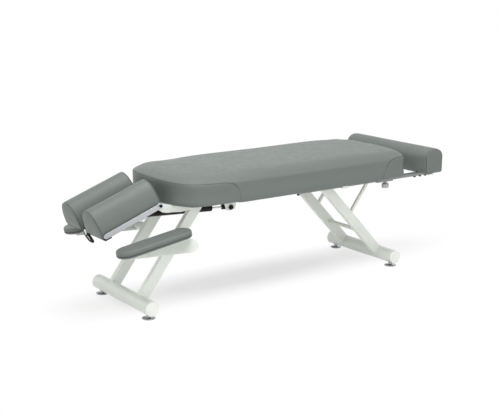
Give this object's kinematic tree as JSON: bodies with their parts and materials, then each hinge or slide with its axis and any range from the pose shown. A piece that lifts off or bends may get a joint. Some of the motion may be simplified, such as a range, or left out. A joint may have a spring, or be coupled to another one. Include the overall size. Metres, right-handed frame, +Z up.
{
  "type": "chiropractic table",
  "caption": "Chiropractic table with a leaning tube base, a long padded top, a tilting face rest of two rolls, two armrests and a sliding ankle bolster.",
  "frame": {"origin": "on the floor, under the middle of the table's footprint", "axes": "+X from the head end to the foot end, +Y to the left of a person at the head who faces the foot end, +Z up"},
  "size_m": [1.7362, 0.564, 0.549],
  "materials": {
    "frame_paint": "satin",
    "cushion_vinyl": "satin",
    "plywood": "matte",
    "bar_aluminium": "satin",
    "cap_plastic": "satin",
    "black_fittings": "satin",
    "spring_black": "gloss",
    "rod_chrome": "polished",
    "rail_steel": "satin",
    "knob_grey": "satin",
    "foot_steel": "satin",
    "fastener_steel": "satin"
  },
  "bodies": {
    "base": {"head_foot_tube": "frame_paint", "rear_foot_tube": "frame_paint", "foot_tube_caps": "cap_plastic", "foot_lock_nuts": "fastener_steel", "head_leg_left": "frame_paint", "head_leg_right": "frame_paint", "rear_leg_left": "frame_paint", "rear_leg_right": "frame_paint", "rear_cross_bar": "frame_paint", "brace_left": "frame_paint", "brace_right": "frame_paint", "side_rail_left": "frame_paint", "side_rail_right": "frame_paint", "head_cross_rail": "frame_paint", "middle_cross_rail": "frame_paint", "foot_cross_rail": "frame_paint", "frame_bolts": "fastener_steel", "hinge_ear_left": "frame_paint", "hinge_ear_right": "frame_paint", "hinge_bolts": "black_fittings", "pad_board": "plywood", "main_pad": "cushion_vinyl", "spring_bracket": "frame_paint", "rear_spring_pin": "fastener_steel", "slide_guides": "frame_paint", "slide_sleeve_left": "frame_paint", "slide_sleeve_right": "frame_paint", "armrest_spindle_left": "frame_paint", "armrest_spindle_right": "frame_paint"},
    "headpiece": {"head_bar_left": "bar_aluminium", "head_bar_right": "bar_aluminium", "head_cross_bars": "frame_paint", "face_board_left": "plywood", "face_board_right": "plywood", "face_roll_left": "cushion_vinyl", "face_roll_right": "cushion_vinyl", "spring_clevis": "frame_paint", "front_spring_pin": "fastener_steel", "lever_plate": "frame_paint"},
    "release_lever": {"release_lever": "black_fittings"},
    "spring_cylinder": {"spring_cylinder": "spring_black"},
    "spring_rod": {"spring_rod": "rod_chrome"},
    "armrest_left": {"armrest_arm_left": "frame_paint", "armrest_plate_left": "frame_paint", "armrest_pad_left": "cushion_vinyl"},
    "clamp_knob_left": {"clamp_knob_left": "knob_grey"},
    "armrest_right": {"armrest_arm_right": "frame_paint", "armrest_plate_right": "frame_paint", "armrest_pad_right": "cushion_vinyl"},
    "clamp_knob_right": {"clamp_knob_right": "knob_grey"},
    "bolster": {"bolster_pad": "cushion_vinyl", "bolster_board": "plywood", "slide_rail_left": "rail_steel", "slide_rail_right": "rail_steel", "bolster_tie": "frame_paint", "rail_buttons": "black_fittings"},
    "levelling_foot_head_left": {"levelling_foot_head_left": "foot_steel"},
    "levelling_foot_head_right": {"levelling_foot_head_right": "foot_steel"},
    "levelling_foot_rear_left": {"levelling_foot_rear_left": "foot_steel"},
    "levelling_foot_rear_right": {"levelling_foot_rear_right": "foot_steel"}
  },
  "joints": [
    {"name": "head_tilt", "type": "hinge", "parent": "base", "child": "headpiece", "pos_m": [-0.58254, 0, 0.44312], "axis": [0, 1, 0], "range_deg": [-20, 20]},
    {"name": "spring_front", "type": "hinge", "parent": "headpiece", "child": "spring_cylinder", "pos_m": [-0.65601, 0, 0.38036], "axis": [0, 1, 0], "range_deg": [-20, 20]},
    {"name": "spring_rear", "type": "hinge", "parent": "base", "child": "spring_rod", "pos_m": [-0.1449, 0, 0.351], "axis": [0, 1, 0], "range_deg": [-6, 6]},
    {"name": "release_lever", "type": "hinge", "parent": "headpiece", "child": "release_lever", "pos_m": [-0.82501, 0, 0.32949], "axis": [0, 1, 0], "range_deg": [0, 22], "stiffness_Nm_per_rad": 0.06},
    {"name": "armrest_left_swing", "type": "hinge", "parent": "base", "child": "armrest_left", "pos_m": [-0.48374, 0.225, 0.28], "axis": [0, 1, 0], "range_deg": [-35, 30]},
    {"name": "clamp_knob_left_turn", "type": "hinge", "parent": "base", "child": "clamp_knob_left", "pos_m": [0.5701, 0.217, 0.395], "axis": [0, 0, 1], "continuous": true},
    {"name": "armrest_right_swing", "type": "hinge", "parent": "base", "child": "armrest_right", "pos_m": [-0.48374, -0.225, 0.28], "axis": [0, 1, 0], "range_deg": [-35, 30]},
    {"name": "clamp_knob_right_turn", "type": "hinge", "parent": "base", "child": "clamp_knob_right", "pos_m": [0.5701, -0.217, 0.395], "axis": [0, 0, 1], "continuous": true},
    {"name": "bolster_slide", "type": "slide", "parent": "base", "child": "bolster", "axis": [1, 0, 0], "range_m": [-0.045, 0.2]},
    {"name": "levelling_foot_head_left_turn", "type": "hinge", "parent": "base", "child": "levelling_foot_head_left", "pos_m": [-0.6649, 0.198, 0.01], "axis": [0, 0, 1], "continuous": true},
    {"name": "levelling_foot_head_right_turn", "type": "hinge", "parent": "base", "child": "levelling_foot_head_right", "pos_m": [-0.6649, -0.198, 0.01], "axis": [0, 0, 1], "continuous": true},
    {"name": "levelling_foot_rear_left_turn", "type": "hinge", "parent": "base", "child": "levelling_foot_rear_left", "pos_m": [0.6351, 0.198, 0.01], "axis": [0, 0, 1], "continuous": true},
    {"name": "levelling_foot_rear_right_turn", "type": "hinge", "parent": "base", "child": "levelling_foot_rear_right", "pos_m": [0.6351, -0.198, 0.01], "axis": [0, 0, 1], "continuous": true}
  ],
  "couplings": [
    {"joint": "spring_front", "follows": "head_tilt", "ratio": -0.866},
    {"joint": "spring_rear", "follows": "head_tilt", "ratio": 0.134}
  ]
}
